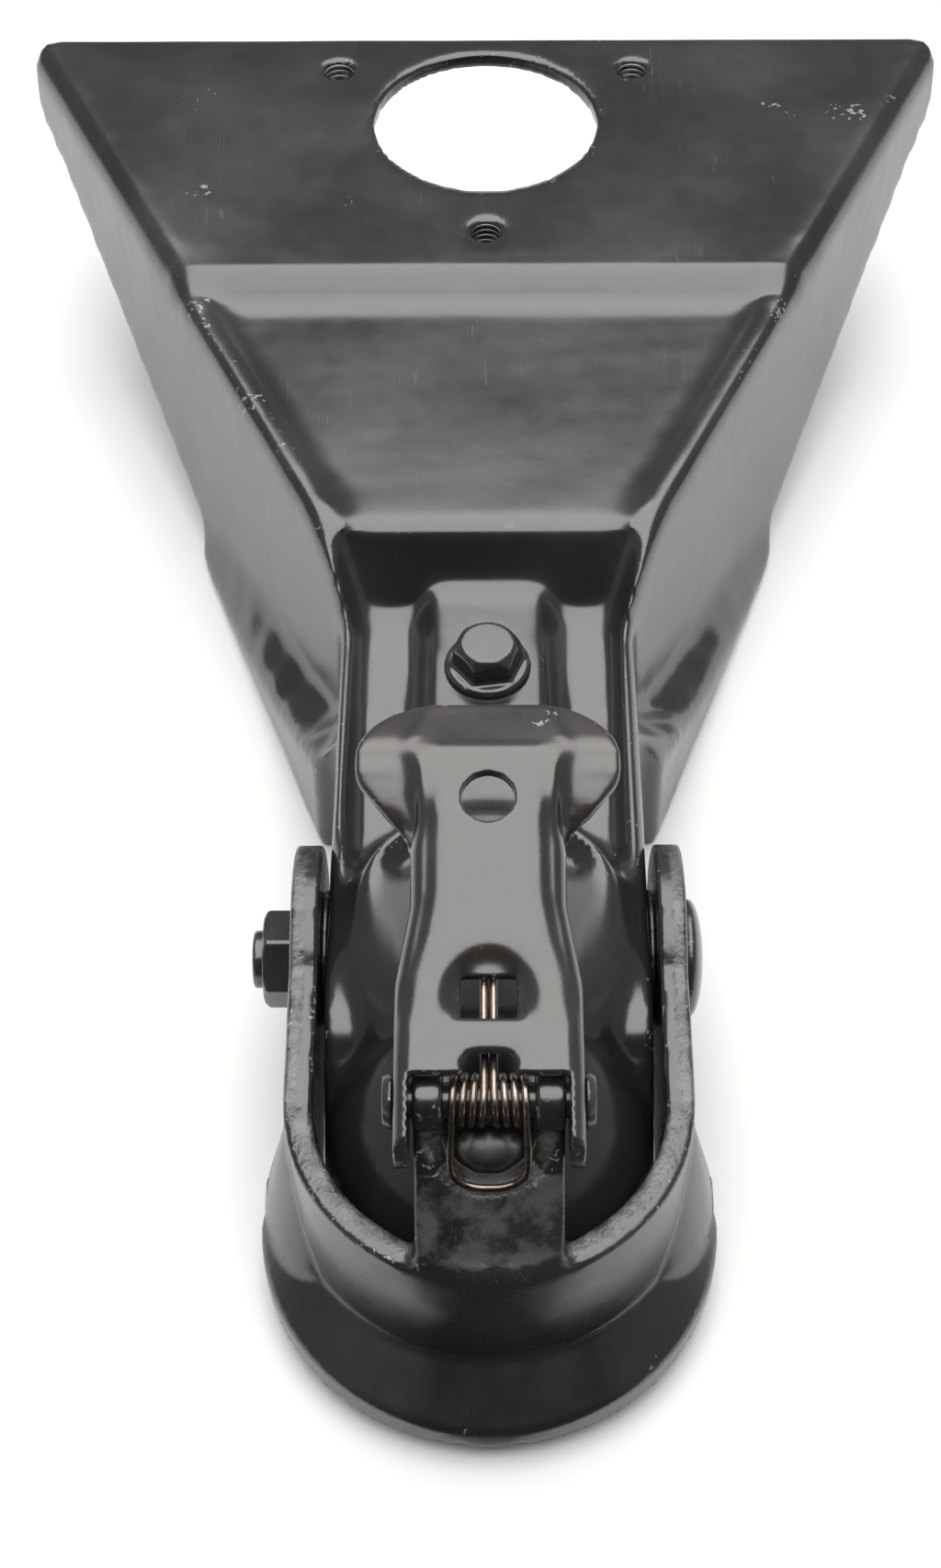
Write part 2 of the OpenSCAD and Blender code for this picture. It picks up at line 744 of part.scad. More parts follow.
// Closed section of the pressed handle at a length u
function handle_section(u) = let (
    lift = u > 70 ? -(u - 70) * tan(handle_tilt) : 0,
    out = handle_half(u),
    inn = [for (i = [0 : len(out) - 1]) out[i] + handle_t * inward(out, i)],
    n = len(out))
    [for (i = [n - 1 : -1 : 1]) [-out[i][0], u, handle_top + lift + out[i][1]],
        for (i = [0 : n - 1]) [out[i][0], u, handle_top + lift + out[i][1]],
        for (i = [n - 1 : -1 : 0]) [inn[i][0], u, handle_top + lift + inn[i][1]],
        for (i = [1 : n - 1]) [-inn[i][0], u, handle_top + lift + inn[i][1]]];

// Half round outline of the dish at a height z, moved in by inset
function dish_ring(inset, z) = let (r = dish_w / 2 - inset, front = dish_at + inset)
    [for (p = concat(arc(0, dish_at + 6.5, r, 0, 180, 14), [[-r, front + 1.6], [-r + 1.6, front],
        [r - 1.6, front], [r, front + 1.6]])) [p[0], p[1], z]];

// Slope of the dish's wall: its run for a unit of depth
dish_run = 1.25;

// Pocket pressed into the handle's top
module dish_pocket() {
    loft([dish_ring(dish_run * dish_depth, handle_top - dish_depth),
        dish_ring(-dish_run / 2, handle_top + 0.5)]);
}

// The same dish moved down by the sheet's thickness
module dish_bowl() {
    low = handle_top - dish_depth - handle_t;
    grow = handle_t * (norm([1, dish_run]) - dish_run);
    loft([dish_ring(dish_run * dish_depth - grow, low),
        dish_ring(dish_run * dish_depth - grow - dish_run * (handle_top - 1 - low), handle_top - 1)]);
}

// Pressed latch handle: two legs on the rivet, a neck and a thumb tab
module latch_handle() {
    front = 2.6;
    stations = [-leg_r - 1, front, 6, 10, 14, 18, 22, 27, 32, 38, 44, 50, 53, 56, 58, 60, 62, 64, 66, 68, 71, 74,
        77, 79, 81, handle_len];
    color([0.13, 0.12, 0.12])
    on_handle()
        difference() {
            union() {
                loft([for (u = stations) handle_section(u)]);
                dish_bowl();
            }
            dish_pocket();
            translate([-30, 0, 0])
                rotate([90, 0, 90])
                    linear_extrude(60)
                        difference() {
                            translate([-40, -40])
                                square([40 + front, 80]);
                            circle(r = leg_r);
                        }
            translate([-leg_in, front - 40, -20])
                cube([2 * leg_in, 40, 60]);
            rotate([0, 90, 0])
                cylinder(d = rivet_d + 2 * pin_fit, h = 60, center = true);
            translate([0, lock_hole_at, -20])
                cylinder(d = lock_hole_d, h = 60);
            translate([-window_w / 2, dish_at + 1.4, -20])
                cube([window_w, 9, 60]);
            translate([-4.6, 0, 0])
                cube([9.2, 6.6, 20]);
        }
}

// Centre line of half of the spring wire: arm, coil, then the bail round the front
coil_r = rivet_d / 2 + 0.3 + wire_d / 2;
coil_in = wire_d / 2 + 0.15;
coil_out = slot_half - 0.7 - wire_d / 2;
arm_z = handle_top - dish_depth - handle_t - 0.3 - wire_d / 2;
bail_half = slot_half - 0.4 - wire_d / 2;
rivet_out = (rivet_z - ring_z + 2) * sin(tongue_lean) - (arm_out - rivet_y) * cos(tongue_lean);
bail_low = wire_d / 2 + 0.55 - rivet_out;
bail_span = norm([bail_len, bail_low]);
leave_a = 90 - tongue_lean - handle_tilt + asin(coil_r / bail_span) - atan(bail_low / bail_len);
bail_run = sqrt(bail_span * bail_span - coil_r * coil_r);
coil_steps = 50;
function coil_at(a, x) = [x, coil_r * sin(a), coil_r * cos(a)];
function bail_at(share, x) = [x, -coil_r * sin(leave_a) - bail_run * share * cos(leave_a),
    coil_r * cos(leave_a) - bail_run * share * sin(leave_a)];
spring_half = concat(
    [[coil_in, 25.5, arm_z], [coil_in, 13, arm_z + 0.1], [coil_in, 8, arm_z + 0.7], [coil_in, 3.5, coil_r - 0.3]],
    [for (i = [0 : coil_steps]) coil_at(-(1080 + leave_a) * i / coil_steps,
        coil_in + (coil_out - coil_in) * i / coil_steps)],
    [for (b = [[0.25, 0.98], [0.5, 1], [0.75, 0.98], [0.86, 0.86], [0.94, 0.66], [0.985, 0.42], [1, 0.2],
        [1, 0]]) bail_at(b[0], bail_half * b[1])]);

// Ring of points round a path at its point i
function wire_ring(p, i, sides) = let (
    a = p[max(i - 1, 0)], b = p[min(i + 1, len(p) - 1)], t = (b - a) / norm(b - a),
    side = abs(t[0]) > 0.9 ? [0, 0, 1] : [1, 0, 0],
    e = cross(t, side) / norm(cross(t, side)), f = cross(t, e))
    [for (j = [0 : sides - 1]) let (c = 360 * j / sides)
        p[i] + wire_d / 2 * (e * cos(c) + f * sin(c))];

// Double torsion spring: two coils on the rivet, arms under the handle, a bail in front
module latch_spring() {
    path = concat(
        [for (p = spring_half) [-p[0], p[1], p[2]]],
        [for (i = [len(spring_half) - 2 : -1 : 0]) spring_half[i]]);
    color([0.42, 0.36, 0.30])
    on_handle()
        loft([for (i = [0 : len(path) - 1]) wire_ring(path, i, 8)]);
}

coupler_body();
ball_clamp();
clamp_bolt();
clamp_washer();
clamp_nut();
pivot_sleeve();
pivot_bolt();
pivot_nut();
pivot_washers();
yoke();
handle_rivet();
latch_spring();
latch_handle();
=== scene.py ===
"""Looks for the trailer coupling head: formed steel pressings, paint, fasteners, light and camera."""

import json
import math

import bmesh
import bpy
import numpy as np
from mathutils import Matrix, Vector

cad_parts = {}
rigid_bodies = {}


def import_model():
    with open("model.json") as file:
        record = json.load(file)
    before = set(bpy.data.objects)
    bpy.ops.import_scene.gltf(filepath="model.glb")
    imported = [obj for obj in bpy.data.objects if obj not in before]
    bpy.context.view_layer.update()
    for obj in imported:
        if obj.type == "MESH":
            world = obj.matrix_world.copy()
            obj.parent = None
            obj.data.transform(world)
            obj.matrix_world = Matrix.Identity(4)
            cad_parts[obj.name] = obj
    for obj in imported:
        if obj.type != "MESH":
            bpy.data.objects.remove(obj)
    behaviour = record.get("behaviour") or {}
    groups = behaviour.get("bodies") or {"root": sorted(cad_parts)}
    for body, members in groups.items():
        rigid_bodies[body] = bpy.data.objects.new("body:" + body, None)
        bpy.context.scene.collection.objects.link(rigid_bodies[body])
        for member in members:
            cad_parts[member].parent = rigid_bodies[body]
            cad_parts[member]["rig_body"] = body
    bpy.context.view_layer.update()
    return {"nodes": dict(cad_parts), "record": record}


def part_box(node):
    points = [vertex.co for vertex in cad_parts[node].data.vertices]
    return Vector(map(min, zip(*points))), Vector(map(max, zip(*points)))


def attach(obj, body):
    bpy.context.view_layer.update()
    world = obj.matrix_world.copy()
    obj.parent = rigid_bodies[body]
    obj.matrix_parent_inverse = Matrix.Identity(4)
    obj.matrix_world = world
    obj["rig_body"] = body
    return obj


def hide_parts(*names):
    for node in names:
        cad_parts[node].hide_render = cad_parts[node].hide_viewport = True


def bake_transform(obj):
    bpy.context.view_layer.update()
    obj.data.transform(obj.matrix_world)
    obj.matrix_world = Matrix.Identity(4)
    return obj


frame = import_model()

MM = 0.001
NODES = frame["nodes"]

# Forming: the two pulls of one relaxing pass, sine waves in a noise field, how soon an edge counts
# as sharp, and the swell of pressed sheet as wave length in mm, seed and share
RELAX_PULLS = (0.6, -0.5)
SINE_WAVES = 12
EDGE_SHARPNESS = 6
SWELL = ((42, 5, 1.0), (12, 6, 0.2))

# Camera: in front of the nose, looking down
CAMERA_PLACE = (0.0, -0.285, 0.468)
LOOK_DOWN = math.radians(50.5)
FRAME_LONG_PX = 1707
FOCAL_PX = 2800
CENTRE_OFF_PX = 19
ROLL = math.radians(0.2)
SENSOR = 36.0

# Stage: the floor just under the lowest edge, the softbox, what the room shows to each kind of ray,
# and the dark flags
FLOOR_Z = -0.0306
FLOOR_HALF = 4.0
SOFTBOX_PLACE, SOFTBOX_AIM = (0.0, 0.36, 1.2), (0, 0.36, 0)
SOFTBOX_SIZE, SOFTBOX_POWER = (1.5, 1.95), 32.5
WARM_WHITE = (1.0, 0.975, 0.945)
ROOM = ((None, (0.96, 0.97, 1.0, 1), 0.3), ("Is Glossy Ray", (0.86, 0.93, 1.0, 1), 0.25),
        ("Is Camera Ray", (0.95, 0.96, 0.97, 1), 1.0))
FLAG_Y, FLAG_TOP_Y, FLAG_TOP, FLAG_HALF = -1.1, -0.85, 1.6, 1.2
FLOOR_FLAG_Z = FLOOR_Z + 0.0004

# Enamel: sizes of its patterns, in waves per metre, and the colours of its marks
MOTTLE, PEEL, GRAIN = 22.0, 160.0, 1900.0
FLAKE, FLAKE_GROUP, SHEARED_GRAIN = 640.0, 150.0, 900.0
SCRATCH_SQUEEZE, SCRATCH_GATE = 9.0, 26.0
SCRATCH_GREY = (0.16, 0.16, 0.165, 1)
DULL_BLACK = (0.025, 0.025, 0.026, 1)
SHEARED_STEEL = (0.1, 0.098, 0.095, 1)
BARE_STEEL = (0.3, 0.29, 0.28, 1)


# Node helpers

class Tree:
    """Builds a material's nodes with few words."""

    def __init__(self, name):
        self.mat = bpy.data.materials.new(name)
        self.mat.use_nodes = True
        self.tree = self.mat.node_tree
        self.tree.nodes.clear()
        self.out = self.add("ShaderNodeOutputMaterial")
        self.coord = self.add("ShaderNodeTexCoord").outputs["Object"]

    def add(self, kind, **props):
        node = self.tree.nodes.new(kind)
        for key, value in props.items():
            setattr(node, key, value)
        return node

    def link(self, value, socket):
        if isinstance(value, bpy.types.NodeSocket):
            self.tree.links.new(value, socket)
        else:
            socket.default_value = value

    def maths(self, how, a, b=0.0, c=None, clamp=False):
        node = self.add("ShaderNodeMath", operation=how, use_clamp=clamp)
        self.link(a, node.inputs[0])
        self.link(b, node.inputs[1])
        if c is not None:
            self.link(c, node.inputs[2])
        return node.outputs[0]

    def mapped(self, turn=(0, 0, 0), scale=(1, 1, 1), shift=(0, 0, 0)):
        node = self.add("ShaderNodeMapping")
        self.link(self.coord, node.inputs["Vector"])
        node.inputs["Rotation"].default_value = turn
        node.inputs["Scale"].default_value = scale
        node.inputs["Location"].default_value = shift
        return node.outputs[0]

    def noise(self, scale, detail=2.0, rough=0.5, vector=None, warp=0.0):
        node = self.add("ShaderNodeTexNoise")
        self.link(vector if vector is not None else self.coord, node.inputs["Vector"])
        node.inputs["Scale"].default_value = scale
        node.inputs["Detail"].default_value = detail
        node.inputs["Roughness"].default_value = rough
        node.inputs["Distortion"].default_value = warp
        return node.outputs["Fac"]

    def ranged(self, value, low, high, to_low=0.0, to_high=1.0):
        node = self.add("ShaderNodeMapRange", interpolation_type="SMOOTHSTEP")
        self.link(value, node.inputs["Value"])
        node.inputs["From Min"].default_value = low
        node.inputs["From Max"].default_value = high
        self.link(to_low, node.inputs["To Min"])
        self.link(to_high, node.inputs["To Max"])
        return node.outputs[0]

    def mix(self, share, a, b):
        node = self.add("ShaderNodeMix", data_type="RGBA")
        self.link(share, node.inputs["Factor"])
        self.link(a, node.inputs["A"])
        self.link(b, node.inputs["B"])
        return node.outputs["Result"]

    def attribute(self, name):
        return self.add("ShaderNodeAttribute", attribute_name=name).outputs["Fac"]

    def bump(self, height, distance, after=None):
        node = self.add("ShaderNodeBump")
        node.inputs["Strength"].default_value = 1.0
        node.inputs["Distance"].default_value = distance
        self.link(height, node.inputs["Height"])
        if after is not None:
            self.link(after, node.inputs["Normal"])
        return node.outputs[0]

    def finish(self, colour, rough, metal, normal, gloss_level=0.5):
        shader = self.add("ShaderNodeBsdfPrincipled")
        self.link(colour, shader.inputs["Base Color"])
        self.link(rough, shader.inputs["Roughness"])
        self.link(metal, shader.inputs["Metallic"])
        self.link(normal, shader.inputs["Normal"])
        shader.inputs["Specular IOR Level"].default_value = gloss_level
        self.tree.links.new(shader.outputs[0], self.out.inputs["Surface"])
        return self.mat


def scratches(t, turn, stretch, width, amount, shift):
    """Long thin contour lines of a stretched noise, broken up by a slow one."""
    lines = t.noise(1.0, 1.0, 0.4, t.mapped((0, 0, turn), (stretch, SCRATCH_SQUEEZE, stretch), shift))
    near = t.maths("ABSOLUTE", t.maths("SUBTRACT", lines, 0.5))
    slow = t.noise(SCRATCH_GATE, 2.0, 0.6, t.mapped(shift=(shift[1], shift[0], 1.0)))
    return t.maths("MULTIPLY", t.ranged(near, width, 0.0), t.ranged(slow, amount, amount + 0.05))


def paint_chips(t, wear):
    """Where the paint has flaked off, from 0 to 1: only where there is wear."""
    flakes = t.maths("MULTIPLY_ADD", t.noise(FLAKE, 1.5, 0.5, warp=0.5), 0.75,
                     t.maths("MULTIPLY", t.noise(FLAKE_GROUP), 0.25))
    chips = t.ranged(t.maths("MULTIPLY_ADD", wear, 0.2, flakes), 0.66, 0.7)
    return t.maths("MULTIPLY", chips, t.ranged(wear, 0.03, 0.2))


def enamel_colour(t, tone, warm, slow, layers):
    """Two mottled tones of black under the layers, each a share and a colour."""
    dark = (tone * (1 + warm), tone, tone * (1 - warm * 0.8), 1)
    light = (tone * 1.9 * (1 + warm), tone * 1.85, tone * 1.8, 1)
    colour = t.mix(t.ranged(slow, 0.35, 0.7), dark, light)
    for share, over in layers:
        colour = t.mix(share, colour, over)
    return colour


def black_enamel(name, tone, rough, peel, warm=0.0):
    """Black enamel on steel: mottled gloss, orange peel, hairline scratches and chips to bare steel."""
    t = Tree(name)
    slow = t.noise(MOTTLE, 3.0, 0.55)
    fine = t.noise(PEEL, 4.0, 0.6)
    grain = t.noise(GRAIN, 2.0, 0.6)
    cut = t.attribute("cut_edge")
    matte = t.attribute("matte")
    chips = paint_chips(t, t.attribute("wear"))
    lines = t.maths("MAXIMUM", scratches(t, 0.35, 330.0, 0.006, 0.6, (3.1, 7.7, 0)),
                    scratches(t, -1.15, 420.0, 0.005, 0.62, (9.2, 1.4, 0)))
    brushed = t.noise(1.0, 2.0, 0.6, t.mapped((0, 0, 0.5), (60.0, 1500.0, 400.0)))
    dull = t.maths("MULTIPLY", matte, brushed)
    torn = t.maths("MULTIPLY", cut, t.ranged(fine, 0.35, 0.6))
    colour = enamel_colour(t, tone, warm, slow,
                           [(t.maths("MULTIPLY", lines, 0.2), SCRATCH_GREY), (dull, DULL_BLACK),
                            (torn, SHEARED_STEEL), (chips, BARE_STEEL)])
    gloss = t.ranged(slow, 0.3, 0.7, rough * 0.85, rough * 1.18)
    for mark, more in ((t.maths("SUBTRACT", fine, 0.5), 0.12), (lines, 0.06), (matte, 0.3), (chips, 0.15)):
        gloss = t.maths("ADD", gloss, t.maths("MULTIPLY", mark, more), clamp=mark is chips)
    height = t.maths("ADD", t.maths("MULTIPLY", fine, 0.7), t.maths("MULTIPLY", grain, 0.12))
    normal = t.bump(height, peel)
    for relief, depth in ((t.maths("MULTIPLY", cut, t.noise(SHEARED_GRAIN, 4.0, 0.65)), 0.0003),
                          (dull, 0.00003), (t.maths("SUBTRACT", 1.0, chips), 0.00008)):
        normal = t.bump(relief, depth, after=normal)
    return t.finish(colour, gloss, t.maths("MULTIPLY", chips, 0.6), normal, 1.0)


def plain_steel(name, colour, rough, grain_scale=700.0, peel=0.00002):
    """Bare or plated steel with a slight grain and darker stains."""
    t = Tree(name)
    slow = t.noise(60.0, 3.0, 0.6)
    fine = t.noise(grain_scale, 3.0, 0.6)
    dark = tuple(c * 0.45 for c in colour) + (1,)
    body = t.mix(t.ranged(slow, 0.3, 0.68), dark, tuple(colour) + (1,))
    gloss = t.ranged(fine, 0.3, 0.7, rough * 0.8, rough * 1.25)
    return t.finish(body, gloss, 1.0, t.bump(fine, peel))


PAINT = {
    "housing_paint": black_enamel("housing_enamel", 0.013, 0.22, 0.00004),
    "yoke_paint": black_enamel("yoke_enamel", 0.012, 0.26, 0.00005),
    "handle_paint": black_enamel("handle_enamel", 0.018, 0.26, 0.00008, warm=0.14),
    "fastener_black": black_enamel("fastener_enamel", 0.018, 0.22, 0.00003),
    "rivet_steel": black_enamel("rivet_enamel", 0.02, 0.3, 0.00005, warm=0.08),
    "spring_wire": plain_steel("spring_steel", (0.34, 0.29, 0.245), 0.3),
    "clamp_steel": plain_steel("forged_steel", (0.13, 0.125, 0.12), 0.55, 300.0, 0.00008),
    "inner_steel": plain_steel("plated_steel", (0.3, 0.3, 0.29), 0.42),
}


# Mesh helpers

def new_object(name, data):
    """A new object of the scene that holds the data."""
    ob = bpy.data.objects.new(name, data)
    bpy.context.scene.collection.objects.link(ob)
    return ob


def merged_copy(node, name):
    """A welded copy of a CAD node's mesh."""
    me = NODES[node].data.copy()
    me.name = name
    bm = bmesh.new()
    bm.from_mesh(me)
    bmesh.ops.remove_doubles(bm, verts=bm.verts, dist=0.002 * MM)
    bm.to_mesh(me)
    bm.free()
    me.materials.clear()
    return new_object(name, me)


def solid_result(ob, name):
    """The mesh of an object with its modifiers done, as a new plain object."""
    graph = bpy.context.evaluated_depsgraph_get()
    me = bpy.data.meshes.new_from_object(ob.evaluated_get(graph), depsgraph=graph)
    me.name = name
    old = ob.data
    bpy.data.objects.remove(ob)
    bpy.data.meshes.remove(old)
    return new_object(name, me)


def even_skin(node, name, voxel):
    """The form of a CAD node as one skin of small even faces."""
    ob = merged_copy(node, name + "_raw")
    skin = ob.modifiers.new("skin", "REMESH")
    skin.mode = "VOXEL"
    skin.voxel_size = voxel * MM
    return solid_result(ob, name)


def vectors_of(me, field):
    """One vector for each point, such as its place or its normal."""
    flat = np.zeros(len(me.vertices) * 3, np.float32)
    me.vertices.foreach_get(field, flat)
    return flat.reshape(-1, 3).astype(float)


def normals_of(me):
    return vectors_of(me, "normal")


def edges_of(me):
    """The two points of each edge."""
    flat = np.zeros(len(me.edges) * 2, np.int32)
    me.edges.foreach_get("vertices", flat)
    return flat.reshape(-1, 2)


def set_points(me, co):
    me.vertices.foreach_set("co", co.astype(np.float32).ravel())
    me.update()


def neighbour_count(ed, points):
    """How many neighbours each point has."""
    return np.maximum(np.bincount(ed.ravel(), minlength=points), 1).astype(float)


def neighbour_sum(values, ed):
    """The sum of one value over each point's neighbours."""
    return (np.bincount(ed[:, 0], values[ed[:, 1]], len(values))
            + np.bincount(ed[:, 1], values[ed[:, 0]], len(values)))


def neighbour_mean(co, ed, count):
    """The middle of each point's neighbours."""
    return np.stack([neighbour_sum(co[:, k], ed) for k in range(3)], axis=1) / count[:, None]


def relax(co, ed, passes, share=None):
    """Rounds edges and corners over and over without shrinking the whole."""
    count = neighbour_count(ed, len(co))
    share = 1.0 if share is None else share[:, None]
    for _ in range(passes):
        for pull in RELAX_PULLS:
            co = co + pull * share * (neighbour_mean(co, ed, count) - co)
    return co


def melt(co, ed, passes, share):
    """Plain smoothing that flattens bends, where relax only takes off the grain."""
    count = neighbour_count(ed, len(co))
    for _ in range(passes):
        co = co + (neighbour_mean(co, ed, count) - co) * share[:, None]
    return co


def smooth_values(values, ed, passes):
    """One value for each point, averaged over its neighbours."""
    count = neighbour_count(ed, len(values))
    for _ in range(passes):
        values = neighbour_sum(values, ed) / count
    return values


def store(me, name, values):
    layer = me.attributes.get(name) or me.attributes.new(name, "FLOAT", "POINT")
    layer.data.foreach_set("value", np.clip(values, 0, 1).astype(np.float32))


def spots(co, marks):
    """Wear round each mark: x, y, z, radius in mm, strength."""
    wear = np.zeros(len(co))
    for x, y, z, r, strength in marks:
        d = np.linalg.norm(co - np.array((x, y, z)) * MM, axis=1) / (r * MM)
        wear = np.maximum(wear, strength * np.clip(1.25 - d, 0, 1))
    return wear


def noise_field(co, wave, seed):
    """A smooth field from -1 to 1 made of turned sine waves, the same on each run."""
    rng = np.random.default_rng(seed)
    total = np.zeros(len(co))
    for _ in range(SINE_WAVES):
        way = rng.normal(size=3)
        way /= np.linalg.norm(way)
        k = 2 * math.pi / (wave * MM) * rng.uniform(0.6, 1.7)
        total += np.sin(co @ way * k + rng.uniform(0, 6.3))
    return total / (SINE_WAVES * 0.6)


def step(low, high, value):
    """Smooth rise from 0 at low to 1 at high; low may be the larger one."""
    u = np.clip((value - low) / (high - low), 0, 1)
    return u * u * (3 - 2 * u)


def band(value, start, full, until, end):
    """1 from full to until, with a smooth fall to 0 at start and at end."""
    return step(start, full, value) * step(end, until, value)


def true_hole(co, centre, radius, reach, low, high):
    """Puts the points near a round upright hole's wall back onto its circle."""
    flat = co[:, :2] / MM - np.array(centre)
    r = np.maximum(np.hypot(flat[:, 0], flat[:, 1]), 1e-6)
    z = co[:, 2] / MM
    near = step(reach, reach * 0.4, np.abs(r - radius)) * (z > low) * (z < high)
    co = co.copy()
    co[:, :2] += flat / r[:, None] * ((radius - r) * near * MM)[:, None]
    return co


def sharp_edges(co, ed, normal, voxel):
    """1 on outward edges and 0 on flats."""
    bend = ((co - neighbour_mean(co, ed, neighbour_count(ed, len(co)))) * normal).sum(1) / (voxel * MM)
    return smooth_values(np.clip(bend * EDGE_SHARPNESS, 0, 1), ed, 1)


def formed(name, node, voxel, passes, slot, marks=(), edge_wear=0.5, shape=None, waves=0.0,
           cut=None, matte=None):
    """A pressing made from its CAD node: an even skin, rounded bends and wear kept as attributes.

    shape moves the points, and cut and matte say where the plate was sheared or is worn dull.
    """
    ob = even_skin(node, name, voxel)
    me = ob.data
    ed = edges_of(me)
    co = relax(vectors_of(me, "co"), ed, passes)
    set_points(me, co)
    if shape:
        co = shape(co, ed, normals_of(me))
        set_points(me, co)
    if waves:
        swell = sum(share * noise_field(co, wave, seed) for wave, seed, share in SWELL)
        co = co + normals_of(me) * (swell * waves * MM)[:, None]
    low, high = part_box(node)
    co = np.clip(co, np.array(low), np.array(high))
    set_points(me, co)
    me.polygons.foreach_set("use_smooth", [True] * len(me.polygons))
    normal = normals_of(me)
    store(me, "wear", np.maximum(spots(co, marks), sharp_edges(co, ed, normal, voxel) * edge_wear))
    store(me, "cut_edge", cut(co, normal) if cut else np.zeros(len(co)))
    store(me, "matte", matte(co, normal) if matte else np.zeros(len(co)))
    me.materials.append(PAINT[slot])
    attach(ob, NODES[node]["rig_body"])
    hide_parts(node)


def paint_cad_nodes():
    """Each CAD node gets the material of its slot, for the hidden ones that nothing replaces."""
    for part in frame["record"]["subparts"]:
        ob = NODES[part["node"]]
        ob.data.materials.clear()
        ob.data.materials.append(PAINT[part["material_slot"]])


# Wear marks: x, y, z, radius in mm, strength
PAD_MARKS = [(-78, 308, 44, 5, 0.35), (100, 300, 44, 5, 0.6), (94, 301, 44, 3, 0.5), (84, 301, 44, 3, 0.55),
             (78, 304, 44, 3, 0.5), (111, 307, 44, 2, 0.6), (-36, 262, 44, 3, 0.35), (-76, 268, 44, 5, 0.35),
             (-74, 226, 41, 4, 0.55), (-71, 218, 41, 3, 0.5), (-58, 190, 40, 5, 0.42), (-50, 172, 40, 3, 0.5),
             (-46, 165, 40, 3, 0.4), (77, 222, 41, 6, 0.6), (72, 205, 41, 5, 0.45)]
HANDLE_MARKS = [(13, 57, 75, 4, 0.8), (10, 56, 75, 3, 0.5), (-24, 46, 69, 3, 0.4), (25, 44, 68, 3, 0.5),
                (18, 5, 53, 4, 0.5), (17.5, -4, 50, 3, 0.6)]
YOKE_MARKS = [(-12, -24, 39, 3, 0.6), (12, -24, 39, 3, 0.6), (-8, -28, 35, 3, 0.5), (8, -28, 35, 3, 0.5),
              (-31, -50, -20, 5, 0.25), (36, -38, -20, 5, 0.3)]

# Housing, in mm: the bolts' places, the holes' places in x and y, the heights that their walls lie
# between, and the rails' line along the sides of the middle panel
PIVOT_BOLT, CLAMP_BOLT_Y = (46, 6), 115
JACK_HOLE = (0.0, 298.0)
JACK_R = 30.15
SCREW_R = 3.97
SCREW_RING = 46.85
SCREW_PLACES = [(SCREW_RING * math.cos(a), JACK_HOLE[1] + SCREW_RING * math.sin(a))
                for a in (math.radians(d) for d in (-90, 30, 150))]
JACK_HOLE_SPAN, SCREW_HOLE_SPAN = (38.5, 44.5), (34, 44.5)
RAIL_AT, RAIL_FROM, RAIL_SPREAD = 52, 180, 0.47

# Crown: its middle, the radius and height of the crest and the hollow, and the line where the flats fall
CROWN_Y = 40
CREST_R, CREST_HIGH, CREST_WIDE = 28, 2.2, 2.0
HOLLOW_R, HOLLOW_DEEP, HOLLOW_WIDE = 22.8, 3.6, 2.5
FALL_FROM, FALL_WAY, FALL_DEEP = (26.8, 44), (0.886, 0.464), 3.0

# Rear step: lift in mm along y
STEP_LIFT = ([227, 230, 233, 236, 239, 242], [0, -0.77, -0.5, 0.55, 0.1, 0])


def lifted(co, lift):
    """The points moved up by lift, in mm."""
    co = co.copy()
    co[:, 2] += lift * MM
    return co


def soft_bends(co, ed, places):
    """Softens the upper bends, away from the seats of the bolts and the jack hole."""
    x, y, z = places
    ax = np.abs(x)
    hole = np.hypot(x, y - JACK_HOLE[1])
    bolts = (step(9, 16, np.hypot(y - PIVOT_BOLT[0], z - PIVOT_BOLT[1]))
             * step(9, 14, np.hypot(x, y - CLAMP_BOLT_Y)))
    upper = step(225, 210, y) * step(-4, 8, z) + 0.8 * step(262, 246, y) * step(30, 36, z)
    co = relax(co, ed, 9, np.clip(upper, 0, 1) * step(31, 40, hole) * bolts)
    rear = band(y, 216, 222, 243, 250) * step(30, 34, z)
    front = band(y, 118, 128, 158, 170) * step(2, 12, z)
    steps = np.maximum(rear, front) * step(31, 36, hole) * bolts
    co = melt(relax(co, ed, 10, steps), ed, 3, steps)
    off_rail = np.abs(ax - RAIL_AT - (y - RAIL_FROM) * RAIL_SPREAD)
    co = melt(co, ed, 3, step(10, 5, off_rail) * band(y, 150, 160, 235, 250) * step(26, 33, z))
    ridge = band(ax, 26, 30, 39, 42) * band(y, 54, 64, 138, 150) * step(12, 18, z) * bolts
    return melt(co, ed, 2, ridge)


def soft_skirt(co, ed, places):
    """Evens the cut rim of the skirt and softens the bend of its flare."""
    x, y, z = places
    off_mean = np.linalg.norm(co - neighbour_mean(co, ed, neighbour_count(ed, len(co))), axis=1)
    rim = smooth_values(np.clip(off_mean / MM * 5, 0, 1), ed, 2) * step(24, 16, z) * step(120, 135, y)
    co = melt(co, ed, 6, np.clip(rim * 2, 0, 1))
    flare = band(y, 60, 80, 212, 225) * step(12, 4, z) * step(-27, -22, z) * step(30, 36, np.abs(x))
    return relax(co, ed, 8, flare)


